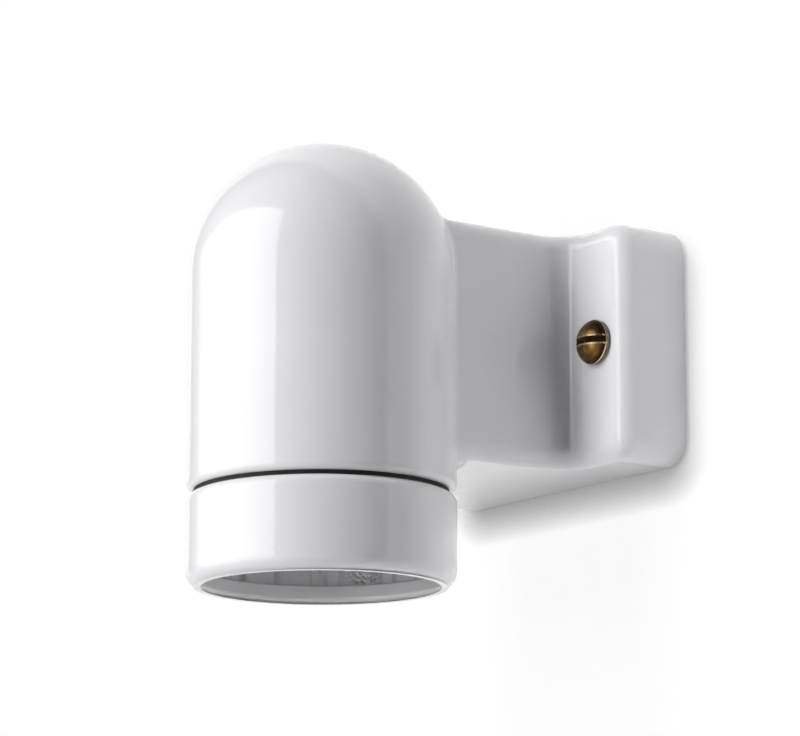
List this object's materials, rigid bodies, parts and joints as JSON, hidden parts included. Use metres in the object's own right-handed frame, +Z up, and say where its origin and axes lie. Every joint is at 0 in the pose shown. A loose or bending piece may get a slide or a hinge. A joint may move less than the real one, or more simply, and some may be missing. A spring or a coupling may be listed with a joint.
{
  "type": "batten lamp holder",
  "caption": "Wall lamp holder of white glazed porcelain: domed head on an arm with an eared wall plate, screw-on shade ring and a screw-cap socket inside.",
  "frame": {"origin": "middle of the wall face, midway between the two wall screws", "axes": "+Y into the wall, +Z up, +X to the right for someone facing the wall; the lamp goes in upwards from below"},
  "size_m": [0.085, 0.1208, 0.1],
  "materials": {
    "porcelain_glaze": "white glossy glaze",
    "porcelain_bisque": "unglazed white porcelain",
    "brass": "drawn and turned",
    "aged_brass": "dark aged brass with worn edges",
    "zinc_steel": "zinc plated",
    "spring_steel": "drawn wire",
    "seal": "matt black",
    "washer": "dark fibre"
  },
  "bodies": {
    "bracket": {"wall_bracket": "porcelain_glaze", "socket_insert": "porcelain_bisque", "screw_shell": "brass", "shell_rivet": "brass", "contact_bush": "brass", "contact_spring": "spring_steel", "line_terminal": "brass", "neutral_terminal": "brass", "line_clamp_screw": "zinc_steel", "neutral_clamp_screw": "zinc_steel", "insert_screw_left": "zinc_steel", "insert_screw_right": "zinc_steel", "insert_nut_left": "zinc_steel", "insert_nut_right": "zinc_steel", "wall_screw_left": "aged_brass", "wall_screw_right": "aged_brass", "screw_washer_left": "washer", "screw_washer_right": "washer"},
    "seal": {"ring_seal": "seal"},
    "ring": {"shade_ring": "porcelain_glaze"},
    "plunger": {"contact_plunger": "brass"}
  },
  "joints": [
    {"name": "ring_drop", "type": "slide", "parent": "bracket", "child": "seal", "axis": [0, 0, -1], "range_m": [0, 0.013]},
    {"name": "ring_turn", "type": "hinge", "parent": "seal", "child": "ring", "pos_m": [0, -0.07, -0.045], "axis": [0, 0, -1], "range_deg": [0, 1170]},
    {"name": "contact_press", "type": "slide", "parent": "bracket", "child": "plunger", "axis": [0, 0, 1], "range_m": [0, 0.002], "stiffness_N_per_m": 800, "springref_m": -0.0015, "deforming": ["contact_spring"]}
  ],
  "couplings": [
    {"joint": "ring_drop", "follows": "ring_turn", "m_per_rad": 0.0006366}
  ]
}
